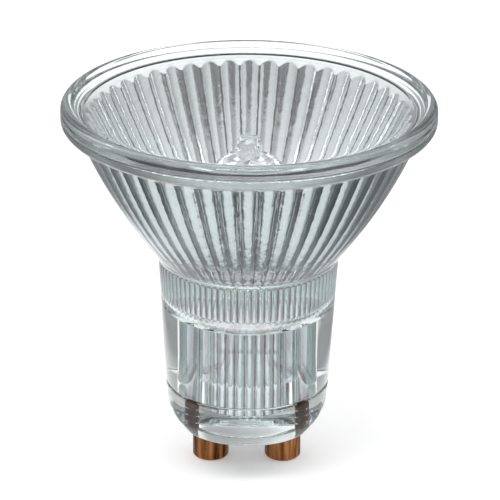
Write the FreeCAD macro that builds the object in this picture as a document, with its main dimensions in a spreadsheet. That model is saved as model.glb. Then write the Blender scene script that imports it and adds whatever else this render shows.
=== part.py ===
import FreeCAD, Part
import math
import os
import Sketcher

# A mains reflector lamp with a twist-lock base: a pressed glass body, a bonded front lens,
# a quartz burner held on two stiff leads, and two contact pins.
# The lamp stands on its pins. The lamp's axis is Z, and the pins lie along X.

SIZES = {
    "Contact pins": {
        "pin_spacing": 10.0,
        "pin_head_diameter": 5.0,
        "pin_head_length": 3.4,
        "pin_edge_round": 0.35,
        "pin_neck_diameter": 3.0,
        "pin_neck_length": 2.2,
        "pin_shank_diameter": 1.3,
        "pin_shank_clearance": 0.05,
        "pin_collar_diameter": 1.6,
        "pin_shank_rise": 0.8,
        "pin_bore_floor": 3.0,
    },
    "Glass base and neck": {
        "base_edge_radius": 9.5,
        "base_radius": 10.85,
        "base_bevel_height": 2.1,
        "key_bevel_inset": 3.6,
        "key_bevel_height": 3.3,
        "neck_step_height": 6.5,
        "neck_step_radius": 11.25,
        "neck_length": 25.1,
        "neck_top_radius": 12.44,
    },
    "Bowl and rim": {
        "bowl_rise": 17.8,
        "bowl_mouth_radius": 22.97,
        "bowl_bulge": 0.88,
        "rim_radius": 25.4,
        "rim_step": 0.7,
        "rim_flange_height": 1.7,
        "rim_round": 1.2,
    },
    "Mirror cavity": {
        "flute_count": 48,
        "flute_depth": 0.42,
        "flute_chords": 4,
        "mouth_wall": 1.85,
        "flute_bands": 4,
        "flute_band_growth": 1.4,
        "throat_radius": 8.3,
        "throat_drop": 0.5,
        "mouth_bore_depth": 1.05,
        "mouth_band_width": 2.4,
        "mouth_band_height": 2.0,
    },
    "Neck socket and well": {
        "ledge_height": 16.7,
        "socket_radius": 8.0,
        "socket_draft": 0.15,
        "rib_count": 64,
        "rib_depth": 0.24,
        "rib_chords": 2,
        "rib_land": 0.03,
        "rib_head": 1.6,
        "rib_foot": 1.8,
        "well_radius": 3.4,
        "well_flute_count": 21,
        "well_flute_depth": 0.3,
        "well_flute_chords": 4,
        "well_floor_thickness": 3.4,
        "tunnel_offset": 5.2,
        "tunnel_radius": 1.25,
        "tunnel_rise": 1.6,
        "channel_width": 1.0,
        "channel_depth": 8.8,
    },
    "Front lens": {
        "seat_ledge": 0.5,
        "lens_bead_height": 1.7,
        "lens_bead_width": 2.3,
        "lens_bead_round": 1.1,
        "pane_thickness": 1.8,
        "spigot_depth": 1.1,
        "spigot_clearance": 0.25,
    },
    "Burner": {
        "tip_clearance": 3.4,
        "tip_height": 4.8,
        "tip_radius": 2.1,
        "tip_neck_radius": 1.7,
        "envelope_radius": 4.6,
        "envelope_wall": 1.0,
        "shoulder_rise": 1.74,
        "pinch_depth": 4.8,
        "pinch_length": 11.0,
        "pinch_width": 6.0,
        "pinch_thickness": 2.4,
        "pinch_edge_round": 0.5,
        "pinch_blend": 2.4,
    },
    "Filament, foils and leads": {
        "lead_spacing": 3.2,
        "foil_width": 1.4,
        "foil_thickness": 0.1,
        "foil_length": 6.0,
        "foil_rise": 2.5,
        "wire_flats": 12,
        "outer_lead_diameter": 0.7,
        "outer_lead_bend": 1.0,
        "outer_lead_drop": 3.3,
        "outer_lead_fall": 1.5,
        "lead_clearance": 0.05,
        "inner_lead_diameter": 0.5,
        "inner_lead_length": 7.0,
        "coil_diameter": 0.84,
        "coil_leg_length": 7.1,
        "coil_bend": 0.9,
        "hook_radius": 0.75,
        "hook_wire_diameter": 0.24,
        "hook_embed": 0.6,
        "seal_clearance": 0.02,
    },
}

# Heights above the pin ends, as expressions in the driving sizes.
BASE = "(sizes.pin_head_length + sizes.pin_neck_length)"
WELL_FLOOR = f"({BASE} + sizes.well_floor_thickness)"
TUNNEL_FLOOR = f"({WELL_FLOOR} + sizes.tunnel_rise)"
PIN_TOP = f"({TUNNEL_FLOOR} + sizes.pin_shank_rise)"
LEDGE = f"({BASE} + sizes.ledge_height)"
NECK_TOP = f"({BASE} + sizes.neck_length)"
THROAT = f"({NECK_TOP} - sizes.throat_drop)"
BOWL_TOP = f"({NECK_TOP} + sizes.bowl_rise)"
RIM_UNDER = f"({BOWL_TOP} + sizes.rim_step)"
RIM_SEAT = f"({RIM_UNDER} + sizes.rim_flange_height)"
BAND_TOP = f"({RIM_SEAT} - sizes.mouth_bore_depth)"
LENS_BACK = f"({RIM_SEAT} - sizes.spigot_depth)"
LENS_FACE = f"({LENS_BACK} + sizes.pane_thickness)"
LENS_TOP = f"({RIM_SEAT} + sizes.lens_bead_height)"
TIP_TOP = f"({LENS_BACK} - sizes.tip_clearance)"
SHOULDER = f"({TIP_TOP} - sizes.tip_height)"
PINCH_FOOT = f"({LEDGE} - sizes.pinch_depth)"
PINCH_TOP = f"({PINCH_FOOT} + sizes.pinch_length)"
FOIL_FOOT = f"({PINCH_FOOT} + sizes.foil_rise)"
FOIL_TOP = f"({FOIL_FOOT} + sizes.foil_length)"
COIL_FOOT = f"({FOIL_TOP} + sizes.inner_lead_length)"
COIL_TOP = f"({COIL_FOOT} + sizes.coil_leg_length)"
MOUTH_RADIUS = "(sizes.rim_radius - sizes.lens_bead_width - sizes.seat_ledge)"
CAVITY_RADIUS = "(sizes.envelope_radius - sizes.envelope_wall)"
CAVITY_TOP = SHOULDER

# Radius of the circle on which the ridges between flutes lie, where the flutes are deepest.
RIDGES = {
    "flute": "(sizes.bowl_mouth_radius - sizes.mouth_wall)",
    "rib": "(sizes.socket_radius + sizes.socket_draft + sizes.rib_land)",
    "well_flute": "sizes.well_radius",
}

# How far a cutting tool runs past the face that it opens, and what counts as flat or equal.
TOOL_OVERRUN = "0.4"
FLAT = 1e-7
SAME_LENGTH = 1e-6

doc = FreeCAD.newDocument("reflector_lamp")
sizes = doc.addObject("Spreadsheet::Sheet", "sizes")


def fill_sheet():
    """Write each driving size to its own aliased cell, under its group's heading."""
    row = 1
    for group, entries in SIZES.items():
        sizes.set(f"A{row}", group)
        row += 1
        for alias, number in entries.items():
            sizes.set(f"A{row}", alias.replace("_", " "))
            sizes.set(f"B{row}", str(number))
            sizes.setAlias(f"B{row}", alias)
            row += 1
    doc.recompute()


def value(expression):
    """The number that an expression in the driving sizes gives."""
    return float(sizes.evalExpression(expression))


def bind(item, **expressions):
    """Bind properties of a document object to expressions; __ stands for a dot."""
    for path, expression in expressions.items():
        item.setExpression(path.replace("__", "."), expression)
    return item


def eased(start, corner, end):
    """A point on the quarter round between two points of an outline, so that two chords draw it."""
    share = 1 - math.sqrt(0.5)
    return tuple(f"({b}) + (({a}) + ({c}) - 2 * ({b})) * {share}" for a, b, c in zip(start, corner, end))


def outline(body, corners):
    """A closed sketch on the body's XZ plane, with every corner bound to two expressions."""
    sketch = body.newObject("Sketcher::SketchObject", body.Name + "_outline")
    plane = [item for item in body.Origin.OriginFeatures if item.Role == "XZ_Plane"][0]
    sketch.AttachmentSupport = [(plane, "")]
    sketch.MapMode = "FlatFace"
    points = [FreeCAD.Vector(value(across), value(up), 0) for across, up in corners]
    for start, end in zip(points, points[1:] + points[:1]):
        sketch.addGeometry(Part.LineSegment(start, end), False)
    for number, (across, up) in enumerate(corners):
        after = (number + 1) % len(corners)
        sketch.addConstraint(Sketcher.Constraint("Coincident", number, 2, after, 1))
        fix_corner(sketch, number, "DistanceX", across, -2)
        fix_corner(sketch, number, "DistanceY", up, -1)
    return sketch


def fix_corner(sketch, edge, kind, expression, axis):
    """Hold one coordinate of an edge's start: on the axis where it is 0, else bound to its expression."""
    if expression == "0":
        sketch.addConstraint(Sketcher.Constraint("PointOnObject", edge, 1, axis))
        return
    fixed = sketch.addConstraint(Sketcher.Constraint(kind, -1, 1, edge, 1, value(expression)))
    sketch.setExpression(f"Constraints[{fixed}]", expression)


def turned(name, corners):
    """A body turned about Z from a closed outline of radius and height."""
    body = doc.addObject("PartDesign::Body", name)
    sketch = outline(body, corners)
    turn = body.newObject("PartDesign::Revolution", name + "_turn")
    turn.Profile = sketch
    turn.ReferenceAxis = (sketch, ["V_Axis"])
    turn.Angle = 360
    return body


def cylinder(name, radius, foot, top, across="0"):
    """An upright cylinder between two heights, set off along X."""
    item = doc.addObject("Part::Cylinder", name)
    bind(item, Radius=radius, Height=f"{top} - {foot}")
    return bind(item, Placement__Base__x=across, Placement__Base__z=foot)


def rod(name, radius, foot, top, across="0"):
    """A short upright wire between two heights, drawn with flats and set off along X."""
    item = doc.addObject("Part::Prism", name)
    bind(item, Polygon="sizes.wire_flats", Circumradius=radius, Height=f"{top} - {foot}")
    return bind(item, Placement__Base__x=across, Placement__Base__z=foot)


def block(name, width, depth, foot, top, across="0"):
    """An upright block between two heights, centred on Y and set off along X."""
    item = doc.addObject("Part::Box", name)
    bind(item, Length=width, Width=depth, Height=f"{top} - {foot}")
    return bind(item, Placement__Base__x=f"{across} - ({width}) / 2", Placement__Base__y=f"-({depth}) / 2",
                Placement__Base__z=foot)


def joined(name, items):
    """The union of several solids."""
    item = doc.addObject("Part::MultiFuse", name)
    item.Shapes = items
    return item


def cut(name, base, tool):
    """One solid with another taken out of it."""
    item = doc.addObject("Part::Cut", name)
    item.Base = base
    item.Tool = tool
    return item


def mirrored(name, source):
    """The same piece on the other side of the lamp, across X."""
    item = doc.addObject("Part::Mirroring", name)
    item.Source = source
    item.Normal = FreeCAD.Vector(1, 0, 0)
    return item


def scalloped_ring(kind, radius, height):
    """The corners of a ring of equal flutes, each a parabola drawn as a few chords."""
    count, chords = int(value(f"sizes.{kind}_count")), int(value(f"sizes.{kind}_chords"))
    depth_share = value(f"sizes.{kind}_depth / {RIDGES[kind]}")
    corners = []
    for number in range(count * chords):
        across = 2 * (number % chords) / chords - 1
        angle = 2 * math.pi * number / (count * chords)
        out = radius * (1 + depth_share * (1 - across ** 2))
        corners.append(FreeCAD.Vector(out * math.cos(angle), out * math.sin(angle), height))
    return corners


def flat_faces(corners):
    """One plane face between four corners, or two where the corners don't lie in a plane."""
    first, second, third, fourth = corners
    if abs((second - first).cross(third - first).dot(fourth - first)) < FLAT:
        return [Part.Face(Part.makePolygon(corners + [first]))]
    return [Part.Face(Part.makePolygon([first, second, third, first])),
            Part.Face(Part.makePolygon([first, third, fourth, first]))]


def solid_through(name, rings):
    """A solid with plane faces through rings that have the same number of corners."""
    faces = [Part.Face(Part.makePolygon(ring + ring[:1])) for ring in (rings[0], rings[-1])]
    for low, high in zip(rings, rings[1:]):
        for number in range(len(low)):
            after = (number + 1) % len(low)
            faces += flat_faces([low[number], low[after], high[after], high[number]])
    item = doc.addObject("Part::Feature", name)
    item.Shape = Part.Solid(Part.Shell(faces))
    return item


def mirror_cavity():
    """The bowl's hollow: parabolic flutes from the throat, a flared band and the bore of the mouth."""
    throat, mouth, top = value(THROAT), value(BOWL_TOP), value(BAND_TOP)
    throat_radius, ridge_radius = value("sizes.throat_radius"), value(RIDGES["flute"])
    growth = (ridge_radius ** 2 - throat_radius ** 2) / (mouth - throat)
    bands = int(value("sizes.flute_bands"))
    rings = []
    for number in range(bands + 1):
        height = throat + (top - throat) * (number / bands) ** value("sizes.flute_band_growth")
        radius = math.sqrt(throat_radius ** 2 + growth * (height - throat))
        rings.append(scalloped_ring("flute", radius, height))
    bore = [corner * (value(MOUTH_RADIUS) / math.hypot(corner.x, corner.y)) for corner in rings[-1]]
    rings[-1] = [flare_corner(low, high) for low, high in zip(rings[-2], rings[-1])]
    for height in (top, value(f"{RIM_SEAT} + {TOOL_OVERRUN}")):
        rings.append([FreeCAD.Vector(corner.x, corner.y, height) for corner in bore])
    return solid_through("mirror_cavity", rings)


def flare_corner(low, high):
    """Where the straight line between two corners of the flutes meets the cone of the flared band."""
    slope = value("sizes.mouth_band_width / sizes.mouth_band_height")
    gaps = []
    for corner in (low, high):
        cone_radius = value(MOUTH_RADIUS) - (value(BAND_TOP) - corner.z) * slope
        gaps.append(cone_radius - math.hypot(corner.x, corner.y))
    return low + (high - low) * (gaps[0] / (gaps[0] - gaps[1]))


def bowl_corner(share):
    """A corner of the bowl's outline, part of the way up, on a curve that bulges outward."""
    bulge = f"sizes.bowl_bulge * 4 * {share} * (1 - {share})"
    across = f"sizes.neck_top_radius + (sizes.bowl_mouth_radius - sizes.neck_top_radius) * {share} + {bulge}"
    return (across, f"{NECK_TOP} + sizes.bowl_rise * {share}")


def reflector_blank():
    """The pressed glass body's outside: bevelled base, tapered neck, curved bowl and rim flange."""
    rim_foot = ("sizes.rim_radius - sizes.rim_round", RIM_UNDER)
    rim_corner = ("sizes.rim_radius", RIM_UNDER)
    rim_side = ("sizes.rim_radius", f"{RIM_UNDER} + sizes.rim_round")
    return turned("reflector_blank", [
        ("0", BASE),
        ("sizes.base_edge_radius", BASE),
        ("sizes.base_radius", f"{BASE} + sizes.base_bevel_height"),
        ("sizes.neck_step_radius", f"{BASE} + sizes.neck_step_height"),
        ("sizes.neck_top_radius", NECK_TOP),
        bowl_corner("1 / 3"),
        bowl_corner("2 / 3"),
        ("sizes.bowl_mouth_radius", BOWL_TOP),
        rim_foot,
        eased(rim_foot, rim_corner, rim_side),
        rim_side,
        ("sizes.rim_radius", RIM_SEAT),
        ("0", RIM_SEAT),
    ])


def key_bevel():
    """The wedge that cuts the slanted key face on the +X side of the base, drawn past both its ends."""
    body = doc.addObject("PartDesign::Body", "key_bevel_right")
    inner = "sizes.base_radius - sizes.key_bevel_inset * 2"
    outer = "sizes.base_radius + sizes.key_bevel_inset"
    sketch = outline(body, [
        (inner, f"{BASE} - sizes.key_bevel_height"),
        (outer, f"{BASE} - sizes.key_bevel_height"),
        (outer, f"{BASE} + sizes.key_bevel_height * 2"),
    ])
    pad = body.newObject("PartDesign::Pad", "key_bevel_pad")
    pad.Profile = sketch
    pad.Midplane = True
    bind(pad, Length="sizes.base_radius * 2")
    return body


def base_passages():
    """On the +X side: the tunnel for a lead, the channel that leads into it, and the hole for a pin."""
    tunnel = cylinder("tunnel_right", "sizes.tunnel_radius", TUNNEL_FLOOR, f"({LEDGE} + {TOOL_OVERRUN})",
                      "sizes.tunnel_offset")
    inner_end = "sizes.well_radius / 2"
    channel = block("channel_right", f"sizes.tunnel_offset - {inner_end}", "sizes.channel_width",
                    f"({LEDGE} - sizes.channel_depth)", f"({LEDGE} + {TOOL_OVERRUN})",
                    f"(sizes.tunnel_offset + {inner_end}) / 2")
    pin_hole = cylinder("pin_hole_right", "sizes.pin_shank_diameter / 2 + sizes.pin_shank_clearance",
                        f"({BASE} - {TOOL_OVERRUN})", f"({TUNNEL_FLOOR} + {TOOL_OVERRUN})",
                        "sizes.pin_spacing / 2")
    return [tunnel, channel, pin_hole]


def reflector_body():
    """The glass body: the blank less the mirror cavity, socket, well, passages and key bevels."""
    socket = doc.addObject("Part::Cone", "socket")
    bind(socket, Radius1="sizes.socket_radius", Radius2="sizes.socket_radius + sizes.socket_draft",
         Height=f"{THROAT} + {TOOL_OVERRUN} - {LEDGE}", Placement__Base__z=LEDGE)
    ribs = solid_through("socket_ribs", rib_rings())
    well_heights = (value(WELL_FLOOR), value(f"{LEDGE} + {TOOL_OVERRUN}"))
    well_radius = value("sizes.well_radius")
    well_rings = [scalloped_ring("well_flute", well_radius, height) for height in well_heights]
    well = solid_through("well", well_rings)
    one_side = base_passages() + [key_bevel()]
    other_side = [mirrored(item.Name.replace("right", "left"), item) for item in one_side]
    hollow = joined("reflector_hollow", [mirror_cavity(), socket, ribs, well] + one_side + other_side)
    return cut("reflector_body", reflector_blank(), hollow)


def rib_rings():
    """Rings of the ribbed stretch of the socket, which keeps the socket's draft."""
    ledge = value(LEDGE)
    foot, top = value(f"{LEDGE} + sizes.rib_foot"), value(f"{NECK_TOP} - sizes.rib_head")
    ledge_radius = value("sizes.socket_radius + sizes.rib_land")
    draft = value(f"sizes.socket_draft / ({THROAT} - {LEDGE})")
    return [scalloped_ring("rib", ledge_radius + draft * (height - ledge), height) for height in (foot, top)]


def front_lens():
    """The clear front glass: a rounded rim bead, a pane set below it and a spigot in the mouth."""
    side = ("sizes.rim_radius", f"{LENS_TOP} - sizes.lens_bead_round")
    crown = ("sizes.rim_radius - sizes.lens_bead_round", LENS_TOP)
    inner_foot = ("sizes.rim_radius - sizes.lens_bead_width", LENS_FACE)
    return turned("front_lens", [
        ("0", LENS_BACK),
        (f"{MOUTH_RADIUS} - sizes.spigot_clearance", LENS_BACK),
        (f"{MOUTH_RADIUS} - sizes.spigot_clearance", RIM_SEAT),
        ("sizes.rim_radius", RIM_SEAT),
        side,
        eased(side, (side[0], crown[1]), crown),
        crown,
        inner_foot,
        ("0", LENS_FACE),
    ])


def burner_envelope():
    """The quartz capsule: a domed bottle with a melted tip, and a flat pinch round the foils."""
    blend_top = f"{PINCH_TOP} + sizes.pinch_blend"
    lead_reach = "(sizes.lead_spacing + sizes.inner_lead_diameter) / 2"
    blend_foot = (f"{lead_reach} + sizes.envelope_wall", f"{PINCH_TOP} - sizes.pinch_edge_round")
    blend_head = ("sizes.envelope_radius", blend_top)
    shoulder = ("sizes.envelope_radius", SHOULDER)
    tip_neck = ("sizes.tip_neck_radius", f"{SHOULDER} + sizes.shoulder_rise")
    tip_side = ("sizes.tip_radius", f"{TIP_TOP} - sizes.tip_radius")
    tip_crown = ("sizes.tip_radius / 2", TIP_TOP)
    bottle = turned("bottle", [
        ("0", f"{PINCH_TOP} - sizes.pinch_edge_round"),
        blend_foot,
        blend_head,
        shoulder,
        eased(shoulder, (shoulder[0], tip_neck[1]), tip_neck),
        tip_neck,
        tip_side,
        tip_crown,
        ("0", TIP_TOP),
    ])
    slab = block("pinch_slab", "sizes.pinch_width", "sizes.pinch_thickness", PINCH_FOOT, PINCH_TOP)
    pinch = doc.addObject("Part::Fillet", "pinch")
    pinch.Base = slab
    doc.recompute()
    round_size, length = value("sizes.pinch_edge_round"), value("sizes.pinch_length")
    for number, edge in enumerate(slab.Shape.Edges, 1):
        if abs(edge.Length - length) < SAME_LENGTH:
            pinch.Edges = pinch.Edges + [(number, round_size, round_size)]
    cavity = cylinder("bottle_cavity", CAVITY_RADIUS, f"({blend_top})", CAVITY_TOP)
    passages = []
    for side, sign in (("left", "-"), ("right", "")):
        place = f"{sign}sizes.lead_spacing / 2"
        passages += [
            block(f"foil_slot_{side}", "sizes.foil_width + sizes.seal_clearance * 2",
                  "sizes.foil_thickness + sizes.seal_clearance * 2", FOIL_FOOT, FOIL_TOP, place),
            cylinder(f"outer_lead_hole_{side}", "sizes.outer_lead_diameter / 2 + sizes.seal_clearance",
                     f"({PINCH_FOOT} - {TOOL_OVERRUN})", FOIL_FOOT, place),
            cylinder(f"inner_lead_hole_{side}", "sizes.inner_lead_diameter / 2 + sizes.seal_clearance",
                     FOIL_TOP, f"({blend_top})", place),
        ]
    hook_hole = cylinder("hook_hole", "sizes.hook_wire_diameter / 2 + sizes.seal_clearance",
                         f"({CAVITY_TOP} - {TOOL_OVERRUN})", f"({CAVITY_TOP} + sizes.hook_embed)")
    inside = joined("envelope_inside", [cavity, hook_hole] + passages)
    return cut("burner_envelope", joined("envelope_blank", [bottle, pinch]), inside)


def bent_wire(name, diameter, corners, bend):
    """A wire drawn with flats along straight runs in the XZ plane, each corner cut across by a short run."""
    points = [FreeCAD.Vector(across, 0, up) for across, up in corners]
    path = points[:1]
    for before, corner, after in zip(points, points[1:], points[2:]):
        path.append(corner + (before - corner).normalize() * bend)
        path.append(corner + (after - corner).normalize() * bend)
    path.append(points[-1])
    spine = doc.addObject("Part::Feature", name + "_path")
    spine.Shape = Part.makePolygon(path)
    section = doc.addObject("Part::RegularPolygon", name + "_section")
    bind(section, Polygon="sizes.wire_flats", Circumradius=f"{diameter} / 2")
    section.Placement.Base = path[0]
    sweep = doc.addObject("Part::Sweep", name)
    sweep.Sections = [section]
    sweep.Spine = (spine, [f"Edge{number + 1}" for number in range(len(path) - 1)])
    sweep.Transition = "Right corner"
    sweep.Solid = True
    return sweep


def outer_lead():
    """The stiff lead on the +X side, from the bore of its pin to the foot of its foil."""
    pin, foil = value("sizes.pin_spacing / 2"), value("sizes.lead_spacing / 2")
    high = value(f"{PINCH_FOOT} - sizes.outer_lead_fall")
    low = value(f"{PINCH_FOOT} - sizes.outer_lead_drop")
    corners = [(pin, value("sizes.pin_bore_floor")), (pin, low), (foil, high), (foil, value(FOIL_FOOT))]
    return bent_wire("outer_lead_right", "sizes.outer_lead_diameter", corners, value("sizes.outer_lead_bend"))


def filament():
    """The coil, drawn as its outer tube: two legs joined by a crossing through the support's eye."""
    reach, foot, top = value("sizes.lead_spacing / 2"), value(COIL_FOOT), value(COIL_TOP)
    corners = [(-reach, foot), (-reach, top), (reach, top), (reach, foot)]
    return bent_wire("filament", "sizes.coil_diameter", corners, value("sizes.coil_bend"))


def filament_support():
    """A wire set in the top of the bottle, with an eye that the coil passes through."""
    reach = "(sizes.hook_wire_diameter / 2)"
    ring = rod("eye_outside", f"sizes.hook_radius + {reach}", f"-{reach}", reach)
    hole = rod("eye_hole", f"sizes.hook_radius - {reach}", "-sizes.hook_radius", "sizes.hook_radius")
    eye = cut("eye", ring, hole)
    eye.Placement.Rotation = FreeCAD.Rotation(FreeCAD.Vector(0, 1, 0), 90)
    bind(eye, Placement__Base__z=COIL_TOP)
    stem = rod("hook_stem", reach, f"({COIL_TOP} + sizes.hook_radius)", f"({CAVITY_TOP} + sizes.hook_embed)")
    return joined("filament_support", [eye, stem])


def contact_pin():
    """A twist-lock pin: a round head, a neck up to the glass, and a hollow shank spread wider above it."""
    bore = "(sizes.outer_lead_diameter / 2 + sizes.lead_clearance)"
    pin = turned("contact_pin_right", [
        ("0", "0"),
        ("sizes.pin_head_diameter / 2 - sizes.pin_edge_round", "0"),
        ("sizes.pin_head_diameter / 2", "sizes.pin_edge_round"),
        ("sizes.pin_head_diameter / 2", "sizes.pin_head_length"),
        ("sizes.pin_neck_diameter / 2", "sizes.pin_head_length"),
        ("sizes.pin_neck_diameter / 2", BASE),
        ("sizes.pin_shank_diameter / 2", BASE),
        ("sizes.pin_shank_diameter / 2", TUNNEL_FLOOR),
        ("sizes.pin_collar_diameter / 2", TUNNEL_FLOOR),
        ("sizes.pin_collar_diameter / 2", PIN_TOP),
        (bore, PIN_TOP),
        (bore, "sizes.pin_bore_floor"),
        ("0", "sizes.pin_bore_floor"),
    ])
    return bind(pin, Placement__Base__x="sizes.pin_spacing / 2")


def handed_pieces():
    """The pieces that the lamp has once on each side, made on +X and mirrored."""
    foil = block("foil_right", "sizes.foil_width", "sizes.foil_thickness", FOIL_FOOT, FOIL_TOP,
                 "sizes.lead_spacing / 2")
    inner_lead = rod("filament_lead_right", "sizes.inner_lead_diameter / 2", FOIL_TOP, COIL_FOOT,
                     "sizes.lead_spacing / 2")
    pieces = [contact_pin(), outer_lead(), foil, inner_lead]
    return pieces + [mirrored(item.Name.replace("right", "left"), item) for item in pieces]


def check(nodes):
    """Stop if any object failed, or a piece is empty, broken or not one solid."""
    for item in doc.Objects:
        if "Invalid" in item.State or "Error" in item.State:
            raise RuntimeError(f"{item.Name} did not build")
    for item in nodes:
        if item.Shape.isNull() or not item.Shape.isValid() or len(item.Shape.Solids) != 1:
            raise RuntimeError(f"{item.Label} is not one valid solid")


fill_sheet()
nodes = [reflector_body(), front_lens(), burner_envelope(), filament(), filament_support()]
nodes += handed_pieces()
for node in nodes:
    node.Label = node.Name
doc.recompute()
check(nodes)
os.makedirs("parts", exist_ok=True)
for node in nodes:
    node.Shape.exportStep(f"parts/{node.Label}.step")
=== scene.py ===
import bpy
import math
import numpy as np
from mathutils import Matrix, Vector


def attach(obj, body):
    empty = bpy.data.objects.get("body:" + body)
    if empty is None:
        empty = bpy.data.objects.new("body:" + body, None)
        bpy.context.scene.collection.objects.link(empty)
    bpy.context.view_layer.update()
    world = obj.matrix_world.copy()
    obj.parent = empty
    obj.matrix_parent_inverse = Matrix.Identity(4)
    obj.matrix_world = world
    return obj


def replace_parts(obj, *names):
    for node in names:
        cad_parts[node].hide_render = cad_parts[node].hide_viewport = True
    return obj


# A clear glass reflector lamp, standing on its contact pins on a white studio floor.
# Sizes are in millimetres and become metres when a mesh is made. Z runs up the lamp's axis from the
# pin ends, and the pins lie along X.

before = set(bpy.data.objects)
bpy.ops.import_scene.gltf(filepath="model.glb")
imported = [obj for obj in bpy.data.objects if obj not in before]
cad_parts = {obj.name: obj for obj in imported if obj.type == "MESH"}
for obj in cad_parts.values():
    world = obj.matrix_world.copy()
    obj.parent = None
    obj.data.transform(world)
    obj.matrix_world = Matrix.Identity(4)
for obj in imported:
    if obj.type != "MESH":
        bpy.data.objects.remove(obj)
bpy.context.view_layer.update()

MM = 0.001
TURN = 2 * math.pi
OVERRUN = 0.4
POST_TURN = 0.037
BARE, MIRROR, GROUND, RIB_FILM, TUNNEL_FILM, WELL_FILM = range(6)
FLUTE_VALUE = "flute"

# Heights and radii of the glass body, as in the solids
BASE, WELL_FLOOR, TUNNEL_FLOOR, LEDGE = 5.6, 9.0, 10.6, 22.3
THROAT, NECK_TOP, BOWL_TOP = 30.2, 30.7, 48.5
RIM_UNDER, RIM_SEAT, BAND_TOP = 49.2, 50.9, 49.85
BASE_EDGE_RADIUS, BASE_RADIUS, BEVEL_HEIGHT = 9.5, 10.85, 2.1
KEY_INSET, KEY_HEIGHT = 3.6, 3.3
STEP_HEIGHT, STEP_RADIUS = 12.1, 11.25
NECK_TOP_RADIUS, BOWL_MOUTH_RADIUS, BOWL_CURVE_RADIUS = 12.44, 22.97, 70.0
RIM_RADIUS, RIM_ROUND = 25.4, 1.2
MOUTH_RADIUS, BAND_WIDTH, BAND_HEIGHT = 22.6, 2.4, 2.0
FLUTES, FLUTE_DEPTH, MOUTH_WALL, THROAT_RADIUS = 48, 0.42, 1.85, 8.3
RIBS, RIB_DEPTH, RIB_FOOT, RIB_HEAD = 64, 0.24, 24.1, 29.1
SOCKET_RADIUS, SOCKET_DRAFT = 8.0, 0.15
WELL_FLUTES, WELL_RADIUS, WELL_FLUTE_DEPTH = 21, 3.4, 0.3
TUNNEL_OFFSET, TUNNEL_RADIUS = 5.2, 1.25
CHANNEL_WIDTH, CHANNEL_DEPTH = 1.0, 8.8

# Points round each turn of the glass body, the lens and the small pieces
COLUMNS, LENS_COLUMNS, SMALL_COLUMNS = 768, 384, 96

# Mould seam, rounded edges and fineness of the glass body's outside
SEAM_DEPTH, SEAM_LIP, SEAM_FOOT, SEAM_MIDDLE, SEAM_TOP = 0.1, 0.02, 0.2, 0.05, 0.15
BASE_ROUND, NECK_ROUND, RIM_FOOT_ROUND, SEAT_ROUND, KEY_ROUND = 0.5, 0.5, 0.8, 0.15, 0.12
BASE_STEPS, BOWL_STEPS, RIM_STEPS, FOOT_STEP, SIDE_STEP = 4, 14, 9, 0.6, 7.0

# Heights and fineness of the glass body's inside: mouth, mirror, throat, ribs, ledge and well
BORE_FOOT, SCALLOP_DROP, SCALLOP_ROWS, SCALLOP_ROUND = 0.15, 1.6, 14, 0.06
MIRROR_FOOT, MIRROR_ROWS, FLUTE_FADE, FLUTE_FADE_ROWS = 1.5, 17, 1.2, 5
RIB_FADE, RIB_END_STEPS, SOCKET_EDGE = 0.2, (0.25, 0.1, -0.1, -0.25), 0.15
WELL_EDGE, WELL_STEP, LEDGE_SHARES, FLOOR_SHARES = 0.2, 1, (0.04, 0.5, 0.93), (1, 0.85, 0.5)

# Height at which the painted shade lines on the mirror's ridges end
RIDGE_TOP = 48.7

# Front lens; its bead is sunk a little into the seat, so that both glasses touch as bonded ones do
LENS_BACK, LENS_FACE, LENS_TOP = 49.8, 51.6, 52.6
SPIGOT_RADIUS, BEAD_INNER_RADIUS, BEAD_ROUND, SEAT_SINK = 22.35, 23.1, 1.1, 0.04
BEAD_STEPS, BEAD_FOOT_INSET, BEAD_FOOT_RISE, CROWN_WIDTH, CROWN_DROP = 9, 0.2, 0.25, 0.4, 0.02
LENS_ROUND, PANE_ROUND, PANE_STEP = 0.12, 0.45, 1

# Quartz burner
PINCH_FOOT, PINCH_TOP, BOTTLE_FOOT, BODY_FOOT, SHOULDER, TIP_TOP = 17.5, 28.5, 28.0, 30.9, 41.6, 46.4
PINCH_WIDTH, PINCH_THICKNESS, BLEND_RADIUS, BODY_RADIUS, CAVITY_RADIUS = 6.0, 2.4, 2.85, 4.6, 3.6
DOME_RISE, DOME_STEPS, FOOT_ROUND, CAVITY_ROUND, TIP_ROUND = 1.74, 9, 0.9, 1.2, 0.7
TIP_NECK_RADIUS, TIP_RADIUS, TIP_WIDEST_DROP = 1.7, 2.1, 2.1
TIP_SHOULDER_SHARE, TIP_SHOULDER_DROP, TIP_FLAT_SHARE = 0.86, 0.8, 0.4

# Lumps of the melted tip: share of its radius, start and full depth below the top, waves round and along it
TIP_LUMPS, LUMP_START_DROP, LUMP_FULL_DROP, LUMP_WAVES = 0.14, 3, 1.5, ((3, 2), (5, -4))

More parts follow.
